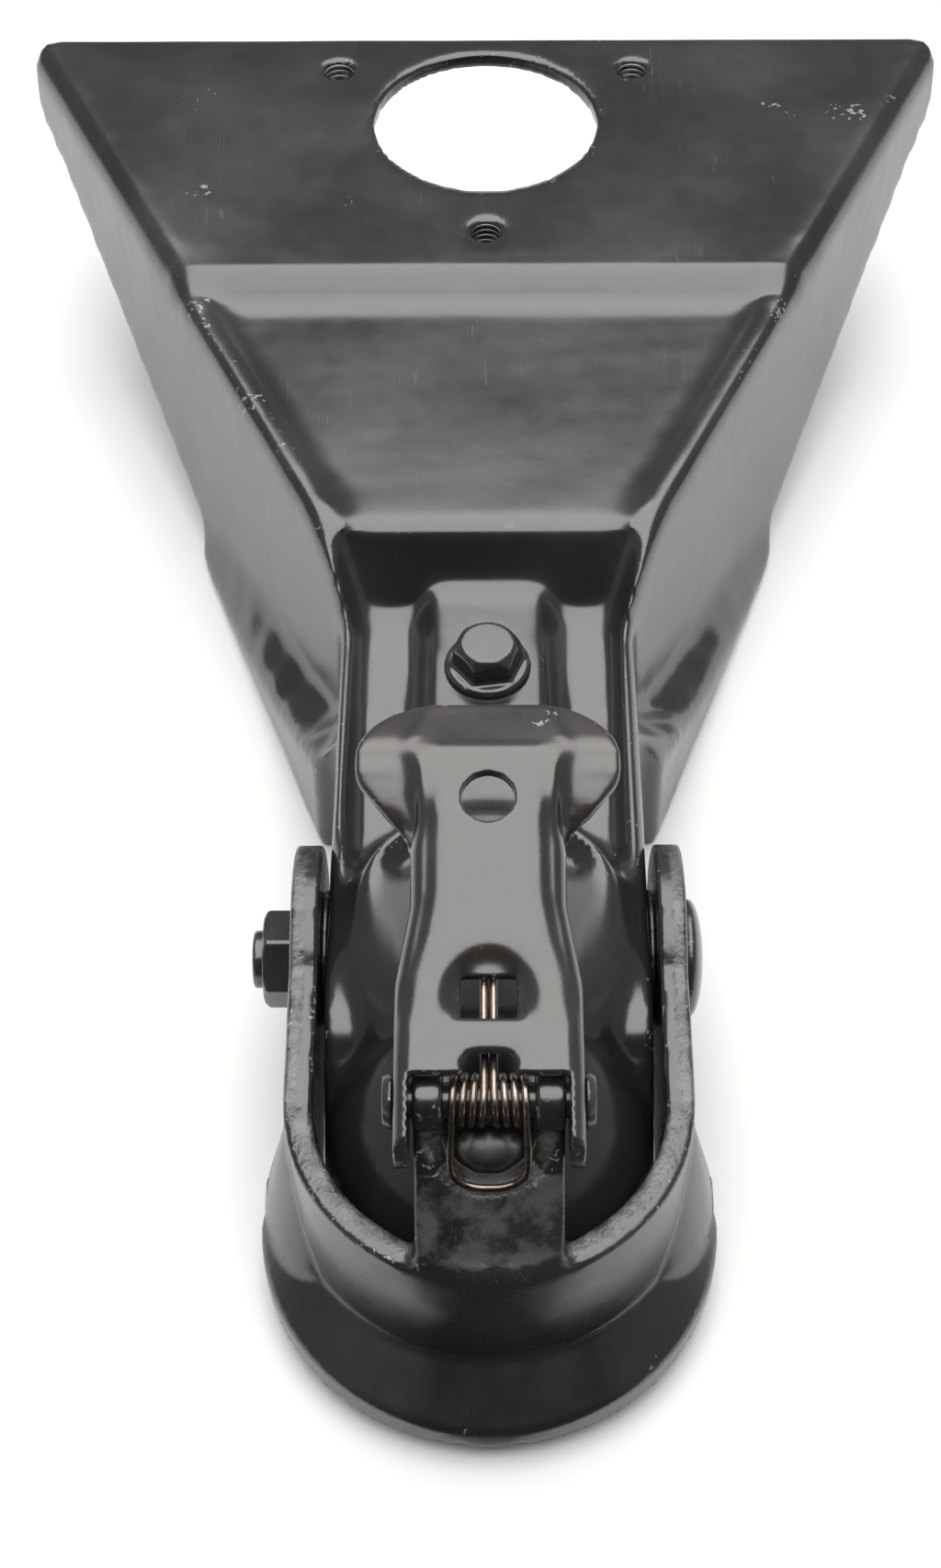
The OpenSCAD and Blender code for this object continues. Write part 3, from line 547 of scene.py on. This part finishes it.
def worn_crown(co, ed):
    """Flats that fall to the sides, and a worn crest round a hollow at both sides."""
    x, y, z = (co / MM).T
    ax = np.abs(x)
    top = step(14, 24, z) * step(8, 16, y)
    past = (ax - FALL_FROM[0]) * FALL_WAY[0] - (y - FALL_FROM[1]) * FALL_WAY[1]
    fall = np.clip(past / 4, 0, 1) ** 0.8 * step(62, 50, y) * step(34, 25, ax) * step(14, 26, y) * top
    ring = np.hypot(x, y - CROWN_Y)
    turn = np.degrees(np.arctan2(y - CROWN_Y, ax))
    side = band(turn, 14, 26, 54, 66) * top
    crest = np.exp(-((ring - CREST_R) / CREST_WIDE) ** 2) * side
    hollow = np.exp(-((ring - HOLLOW_R) / HOLLOW_WIDE) ** 2) * side * step(22, 34, turn)
    co = lifted(co, CREST_HIGH * crest - HOLLOW_DEEP * hollow - FALL_DEEP * fall)
    co = relax(co, ed, 4, top)
    return melt(co, ed, 5, top * band(ax, 18, 23, 31, 35) * step(58, 50, y))


def housing_shape(co, ed, normal):
    """Soft bends and rims, a ramp over the rear step, a worn crown and true holes."""
    places = (co / MM).T
    co = soft_skirt(soft_bends(co, ed, places), ed, places)
    y, z = (co[:, 1:] / MM).T
    co = lifted(co, np.interp(y, *STEP_LIFT) * step(34, 37, z))
    co = worn_crown(co, ed)
    co = true_hole(co, JACK_HOLE, JACK_R, 1.2, *JACK_HOLE_SPAN)
    for place in SCREW_PLACES:
        co = true_hole(co, place, SCREW_R, 1.3, *SCREW_HOLE_SPAN)
    return co


def crown_matte(co, normal):
    """The crown's flats beside the handle are worn dull."""
    x, y, z = (co / MM).T
    ring = np.hypot(x, y - CROWN_Y)
    return step(26, 22, ring) * step(0.8, 0.95, normal[:, 2]) * step(28, 30, z) * 0.9


# Yoke, in mm: heights of the ring's rim and the lip, the wall's outer radius, and the middle of its thickness
RING_TOP, LIP_TOP = 21.0, -19
WALL_OUT = 42.1
WALL_MIDDLE = (38.6, 39.6)
LIP_OUT = 6.4
CREASE = ([-30, -24, -16, -10, -5], [-12, -10, 0, 9, 20])

# Tongue's plate: its lean as a slope's two parts, and the round top and notch along it
TONGUE_LEAN = (0.669, 0.743)
TONGUE_TOP_AT, TONGUE_TOP_R = 32.2, 13.9
NOTCH_AT, NOTCH_R = 29.7, 9.2


def risen_lip(co):
    """The lip's flare, carried up from the lip to the ring's rim at both sides."""
    x, y, z = (co / MM).T
    ax = np.abs(x)
    end = -5 + 10 * (RING_TOP - z) / 40
    beyond = step(42.0, 43.2, ax) * step(-4, -9, z) * (y > -8)
    squeezed = -8 + (y + 8) * (np.minimum(end, 4.5) + 8) / 24
    y = np.where(beyond > 0, y + beyond * (squeezed - y), y)
    crease = np.interp(y, *CREASE)
    share = np.clip((crease - z) / (crease - LIP_TOP), 0, 1)
    share = share * step(end + 0.7, end - 0.7, y) * step(-31, -24, y)
    reach = np.where(y < 0, np.hypot(x, y), ax)
    out = LIP_OUT * share * step(8, 20, ax)
    is_outer = step(*WALL_MIDDLE, reach)
    moved = is_outer * np.maximum(reach, WALL_OUT + out) + (1 - is_outer) * (reach + out)
    keep = (z > LIP_TOP - 0.2) & (out > 0) & (reach > 30)
    grow = np.where(keep, moved, reach) / np.maximum(reach, 1e-6)
    return np.stack([x * grow, np.where(y < 0, y * grow, y), z], axis=1) * MM


def yoke_shape(co, ed, normal):
    """The risen lip, a softened tongue and ears, and rims that are rough where the plate was sheared."""
    co = risen_lip(co)
    x, y, z = (co / MM).T
    ax = np.abs(x)
    tongue = step(15.5, 13.0, ax) * band(z, 8, 15, 27, 33) * step(-36, -38, y)
    notch = step(14.5, 12, ax) * step(-35, -38, y) * band(z, 8, 14, 25, 29)
    foot = band(ax, 10, 12.5, 15.5, 20) * band(z, 14, 18, 23, 27) * (y < -30)
    ears = step(36, 39, z) * (y < 0)
    sides = band(y, -27, -22, 0, 4) * step(-22, -14, z)
    co = relax(co, ed, 12, tongue)
    co = melt(co, ed, 7, notch)
    co = melt(co, ed, 5, foot)
    co = relax(co, ed, 5, np.maximum(ears, sides * 0.8))
    rim = step(0.55, 0.85, normal[:, 2]) * step(-8, 0, z)
    rough = noise_field(co, 4, 11) * 0.09 + noise_field(co, 2.2, 12) * 0.06
    return co - normal * (np.abs(rough) * rim * MM)[:, None]


def yoke_cut(co, normal):
    """Where the yoke's plate was sheared.

    On the rims that is the inner half of the ring's and the outer half of the arms', and on the
    tongue the bevel round its notch.
    """
    x, y, z = (co / MM).T
    reach = np.where(y < 0, np.hypot(x, y), np.abs(x)) + noise_field(co, 3.5, 21) * 0.7
    ring = step(40.2, 39.4, reach) * step(-3, -7, y)
    arms = step(*WALL_MIDDLE, reach) * step(-7, -3, y)
    up = step(0.5, 0.8, normal[:, 2]) * step(-8, 0, z) * np.maximum(ring, arms)
    along = (y + WALL_OUT) * TONGUE_LEAN[0] + (z - 19) * TONGUE_LEAN[1]
    top = step(TONGUE_TOP_R, TONGUE_TOP_R - 0.7, np.hypot(x, along - TONGUE_TOP_AT)) * step(33, 31, along)
    notch = step(NOTCH_R, NOTCH_R + 1.4, np.hypot(x, along - NOTCH_AT)) * step(-0.35, -0.5, normal[:, 1])
    return np.maximum(up * (z < 36), top * (z > 24) * notch)


# Handle: its tilt, the rivet's place, and how its sections change along it, all in mm
HANDLE_TILT = math.radians(15)
RIVET = np.array((0.0, -18.2, 49.0))
WING_RISE = ([54, 56, 58, 60, 62, 64, 66, 67, 68, 70, 72, 74],
             [0.3, 0.4, 0.6, 0.8, 1.05, 1.25, 1.45, 1.15, 0.6, -0.7, -0.4, 0])
FOLD_FILL = ([57, 63, 66, 69], [0, 1, 1, 0])
SIDE_EDGE = ([16, 20, 24, 30, 40, 55], [19, 18.7, 17.5, 16.3, 14.6, 14.4])
TAB_FROM, TAB_DROP = 70, 0.16
DISH_MIDDLE, DISH_SQUARE = 17.5, 18.5


def handle_places(co):
    """Width, length from the rivet and height above it along the handle, in mm."""
    p = co / MM - RIVET
    c, s = math.cos(HANDLE_TILT), math.sin(HANDLE_TILT)
    return p[:, 0], p[:, 1] * c + p[:, 2] * s, -p[:, 1] * s + p[:, 2] * c


def handle_to_world(x, u, w):
    """The way back from width, length and height along the handle, in metres."""
    c, s = math.cos(HANDLE_TILT), math.sin(HANDLE_TILT)
    return (np.stack([x, u * c - w * s, u * s + w * c], axis=1) + RIVET) * MM


def handle_shape(co, ed, normal):
    """Fluted sides, wings that rise evenly to the tab, a tab bent down behind its crease, and a soft dish."""
    x, u, w = handle_places(co)
    ax = np.abs(x)
    rise = np.interp(u, *WING_RISE) * step(12.0, 15.5, ax)
    fill = 1.9 * np.exp(-((ax - 13.8) / 1.2) ** 2) * np.interp(u, *FOLD_FILL)
    drop = -np.maximum(u - TAB_FROM, 0) * TAB_DROP * step(67, 73, u)
    edge = np.interp(u, *SIDE_EDGE)
    flute = -0.45 * np.exp(-((ax - edge + 2.7) / 1.0) ** 2) * band(u, 12, 18, 54, 60) * (w > 2)
    co = handle_to_world(x, u, w + rise + fill + drop + flute)
    co = melt(co, ed, 22, band(u, 57, 62, 69, 74) * band(ax, 9, 12, 18, 21))
    co = melt(co, ed, 7, band(u, 60, 64, 73, 78) * step(14, 17, ax))
    co = melt(co, ed, 6, band(u, 18, 24, 54, 60) * step(6, 8, ax) * step(2, 4, w))
    off_window = np.maximum(ax, np.abs(u - DISH_SQUARE) + 1)
    dish = step(17, 12, np.hypot(x, u - DISH_MIDDLE)) * step(5.6, 7.5, off_window) * (w > 3)
    return melt(co, ed, 34, dish)


paint_cad_nodes()
formed("pressed_housing", "coupler_body", 1.5, 4, "housing_paint", PAD_MARKS, 0.3, housing_shape, 0.12,
       matte=crown_matte)
formed("formed_yoke", "yoke", 0.85, 3, "yoke_paint", YOKE_MARKS, 0.35, yoke_shape, 0.08, yoke_cut)
formed("pressed_handle", "latch_handle", 0.5, 5, "handle_paint", HANDLE_MARKS, 0.4, handle_shape, 0.06)
formed("flange_bolt", "clamp_bolt", 0.5, 5, "fastener_black", (), 0.25)
formed("round_bolt", "pivot_bolt", 0.55, 3, "fastener_black", (), 0.25)
formed("hex_nut", "pivot_nut", 0.45, 2, "fastener_black", (), 0.3)
formed("thin_washers", "pivot_washers", 0.35, 1, "fastener_black", (), 0.3)
formed("formed_rivet", "handle_rivet", 0.4, 3, "rivet_steel", (), 0.4)


# Spring wire and screw threads, made by Geometry Nodes

def line_object(name, paths, closed=False):
    """Edges along one or more rows of points."""
    verts, edges = [], []
    for path in paths:
        first = len(verts)
        verts += [tuple(p) for p in path]
        edges += [(first + i, first + i + 1) for i in range(len(path) - 1)]
        if closed:
            edges.append((first + len(path) - 1, first))
    me = bpy.data.meshes.new(name)
    me.from_pydata(verts, edges, [])
    return new_object(name, me)


def wire_tree(name, material):
    """A node group that runs a round wire along the edges of a mesh."""
    group = bpy.data.node_groups.new(name, "GeometryNodeTree")
    face = group.interface
    face.new_socket("Path", in_out="INPUT", socket_type="NodeSocketGeometry")
    radius = face.new_socket("Wire radius", in_out="INPUT", socket_type="NodeSocketFloat")
    sides = face.new_socket("Sides", in_out="INPUT", socket_type="NodeSocketInt")
    face.new_socket("Wire", in_out="OUTPUT", socket_type="NodeSocketGeometry")
    nodes, links = group.nodes, group.links
    given = nodes.new("NodeGroupInput")
    curve = nodes.new("GeometryNodeMeshToCurve")
    round_ = nodes.new("GeometryNodeCurvePrimitiveCircle")
    tube = nodes.new("GeometryNodeCurveToMesh")
    tube.inputs["Fill Caps"].default_value = True
    smooth = nodes.new("GeometryNodeSetShadeSmooth")
    real = nodes.new("GeometryNodeRealizeInstances")
    paint = nodes.new("GeometryNodeSetMaterial")
    paint.inputs["Material"].default_value = material
    out = nodes.new("NodeGroupOutput")
    links.new(given.outputs["Path"], curve.inputs["Mesh"])
    links.new(given.outputs["Wire radius"], round_.inputs["Radius"])
    links.new(given.outputs["Sides"], round_.inputs["Resolution"])
    links.new(curve.outputs[0], tube.inputs["Curve"])
    links.new(round_.outputs["Curve"], tube.inputs["Profile Curve"])
    links.new(tube.outputs[0], smooth.inputs["Geometry"])
    links.new(smooth.outputs[0], real.inputs["Geometry"])
    links.new(real.outputs[0], paint.inputs["Geometry"])
    links.new(paint.outputs[0], out.inputs["Wire"])
    return group, radius.identifier, sides.identifier


def wired(name, paths, radius, sides, slot, closed=False):
    """The wire along the paths as a plain mesh."""
    ob = line_object(name + "_path", paths, closed)
    group, radius_id, sides_id = wire_tree(name + "_wire", PAINT[slot])
    run = ob.modifiers.new("wire", "NODES")
    run.node_group = group
    run[radius_id] = radius * MM
    run[sides_id] = sides
    ob = solid_result(ob, name)
    return ob


# Spring, in mm along the handle: wire, coil, arms and the bail that leaves the coil downwards
WIRE_R = 0.8
WIRE_SIDES = 12
COIL_R = 4.6
COIL_TURNS, COIL_STEPS = 3, 90
COIL_IN, COIL_OUT = 0.95, 7.2
ARM_W = 2.7
ARM = [(COIL_IN, 25.5, ARM_W), (COIL_IN, 19, ARM_W), (COIL_IN, 13, ARM_W + 0.1),
       (COIL_IN, 8, ARM_W + 0.7), (COIL_IN, 3.5, COIL_R - 0.3)]
BAIL_HALF = 7.5
BAIL_LEAVE = math.radians(51.1)
BAIL_RUN = 17.1
# Shares of the bail's run down and of its half width out
BAIL_SHAPE = [(0.25, 0.98), (0.5, 1), (0.75, 0.98), (0.86, 0.88),
              (0.94, 0.68), (0.985, 0.42), (1, 0.2), (1, 0)]
PATH_STEPS = 5


def smooth_path(points, count):
    """A Catmull-Rom curve through the points."""
    p = np.array(points, float)
    p = np.vstack([2 * p[0] - p[1], p, 2 * p[-1] - p[-2]])
    out = []
    for i in range(1, len(p) - 2):
        for k in range(count):
            t = k / count
            a, b, c, d = p[i - 1:i + 3]
            out.append(0.5 * (2 * b + (c - a) * t + (2 * a - 5 * b + 4 * c - d) * t * t
                              + (3 * b - a - 3 * c + d) * t ** 3))
    out.append(p[-2])
    return np.array(out)


def spring_path():
    """Arm, coil and bail of the spring's right half, then mirrored into one line."""
    angle = 2 * math.pi * COIL_TURNS + BAIL_LEAVE
    coil = [(COIL_IN + (COIL_OUT - COIL_IN) * k, -COIL_R * math.sin(angle * k), COIL_R * math.cos(angle * k))
            for k in np.linspace(0, 1, COIL_STEPS)]
    sine, cosine = math.sin(BAIL_LEAVE), math.cos(BAIL_LEAVE)
    bail = [(BAIL_HALF * out, -COIL_R * sine - BAIL_RUN * down * cosine,
             COIL_R * cosine - BAIL_RUN * down * sine) for down, out in BAIL_SHAPE]
    half = np.vstack([smooth_path(ARM + [coil[0]], PATH_STEPS)[:-1], coil,
                      smooth_path([coil[-1]] + bail, PATH_STEPS)[1:]])
    left = half.copy()
    left[:, 0] *= -1
    line = np.vstack([left, half[-2::-1]])
    return handle_to_world(*line.T)


spring = wired("torsion_spring", [spring_path()], WIRE_R, WIRE_SIDES, "spring_wire")
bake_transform(spring)
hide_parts("latch_spring")

# Threads in the jack's screw holes, as rings
THREAD_PITCH, THREAD_R = 1.6, 0.42
THREAD_SPAN = (36.0, 43.6)
RING_STEPS, RING_SIDES = 28, 6


def thread_ring(place, level):
    """One turn of thread as a closed ring of points."""
    return [((place[0] + SCREW_R * math.cos(a)) * MM, (place[1] + SCREW_R * math.sin(a)) * MM, level * MM)
            for a in np.linspace(0, 2 * math.pi, RING_STEPS, endpoint=False)]


threads = [thread_ring(place, level)
           for place in SCREW_PLACES for level in np.arange(*THREAD_SPAN, THREAD_PITCH)]
rings = wired("screw_threads", threads, THREAD_R, RING_SIDES, "inner_steel", closed=True)
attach(rings, NODES["coupler_body"]["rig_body"])


# Stage

def card(name, corners, material):
    """A flat sheet with four corners."""
    me = bpy.data.meshes.new(name)
    me.from_pydata(corners, [], [(0, 1, 2, 3)])
    me.materials.append(material)
    return new_object(name, me)


def stage_floor():
    """A pale matt floor."""
    t = Tree("floor_card")
    shade = t.ranged(t.noise(3.0, 2.0), 0.3, 0.7, 0.86, 0.88)
    grey = t.add("ShaderNodeCombineColor")
    for socket in grey.inputs[:3]:
        t.link(shade, socket)
    matt = t.finish(grey.outputs[0], 0.75, 0.0, t.bump(t.noise(400.0), 0.00001))
    half = FLOOR_HALF
    ob = card("floor", [(-half, -half, FLOOR_Z), (half, -half, FLOOR_Z),
                        (half, half, FLOOR_Z), (-half, half, FLOOR_Z)], matt)


def soft_lamp(name, place, aim, size, power):
    """A warm white softbox that looks at the aim."""
    data = bpy.data.lights.new(name, "AREA")
    data.shape = "RECTANGLE"
    data.size, data.size_y = size
    data.energy = power
    data.color = WARM_WHITE
    ob = new_object(name, data)
    ob.location = place
    ob.rotation_euler = (Vector(aim) - Vector(place)).to_track_quat("-Z", "Y").to_euler()


def daylight():
    """Pale studio room: white to the camera, dimmer as fill and in reflections."""
    world = bpy.data.worlds.new("studio")
    bpy.context.scene.world = world
    world.use_nodes = True
    tree = world.node_tree
    tree.nodes.clear()
    out = tree.nodes.new("ShaderNodeOutputWorld")
    rays = tree.nodes.new("ShaderNodeLightPath")
    lit = None
    for ray, colour, strength in ROOM:
        shade = tree.nodes.new("ShaderNodeBackground")
        shade.inputs["Color"].default_value = colour
        shade.inputs["Strength"].default_value = strength
        if ray:
            mix = tree.nodes.new("ShaderNodeMixShader")
            tree.links.new(rays.outputs[ray], mix.inputs[0])
            tree.links.new(lit, mix.inputs[1])
            tree.links.new(shade.outputs[0], mix.inputs[2])
            shade = mix
        lit = shade.outputs[0]
    tree.links.new(lit, out.inputs["Surface"])


def dark_flag(name, corners):
    """A dark studio flag that only reflections see, to the front of the object."""
    t = Tree(name + "_cloth")
    shade = t.mix(t.noise(12.0), (0.02, 0.02, 0.022, 1), (0.03, 0.03, 0.032, 1))
    ob = card(name, corners, t.finish(shade, 0.9, 0.0, t.bump(t.noise(500.0), 0.0001), 0.1))
    ob.visible_camera = False
    ob.visible_diffuse = False
    ob.visible_shadow = False


stage_floor()
daylight()
soft_lamp("overhead_softbox", SOFTBOX_PLACE, SOFTBOX_AIM, SOFTBOX_SIZE, SOFTBOX_POWER)
dark_flag("front_flag", [(-FLAG_HALF, FLAG_Y, FLOOR_Z), (FLAG_HALF, FLAG_Y, FLOOR_Z),
                         (FLAG_HALF, FLAG_TOP_Y, FLAG_TOP), (-FLAG_HALF, FLAG_TOP_Y, FLAG_TOP)])
dark_flag("floor_flag", [(-0.5, FLAG_Y, FLOOR_FLAG_Z), (0.5, FLAG_Y, FLOOR_FLAG_Z),
                         (0.2, -0.058, FLOOR_FLAG_Z), (-0.2, -0.058, FLOOR_FLAG_Z)])

camera = bpy.data.cameras.new("camera")
camera.sensor_width = SENSOR
camera.lens = FOCAL_PX / FRAME_LONG_PX * SENSOR
camera.shift_x = -CENTRE_OFF_PX / FRAME_LONG_PX
camera.clip_start, camera.clip_end = 0.05, 20.0
camera_ob = new_object("camera", camera)
camera_ob.location = CAMERA_PLACE
aimed = Matrix.Rotation(math.pi / 2 - LOOK_DOWN, 3, "X") @ Matrix.Rotation(-ROLL, 3, "Z")
camera_ob.rotation_euler = aimed.to_euler()
bpy.context.scene.camera = camera_ob
bpy.context.scene.view_settings.view_transform = "Standard"
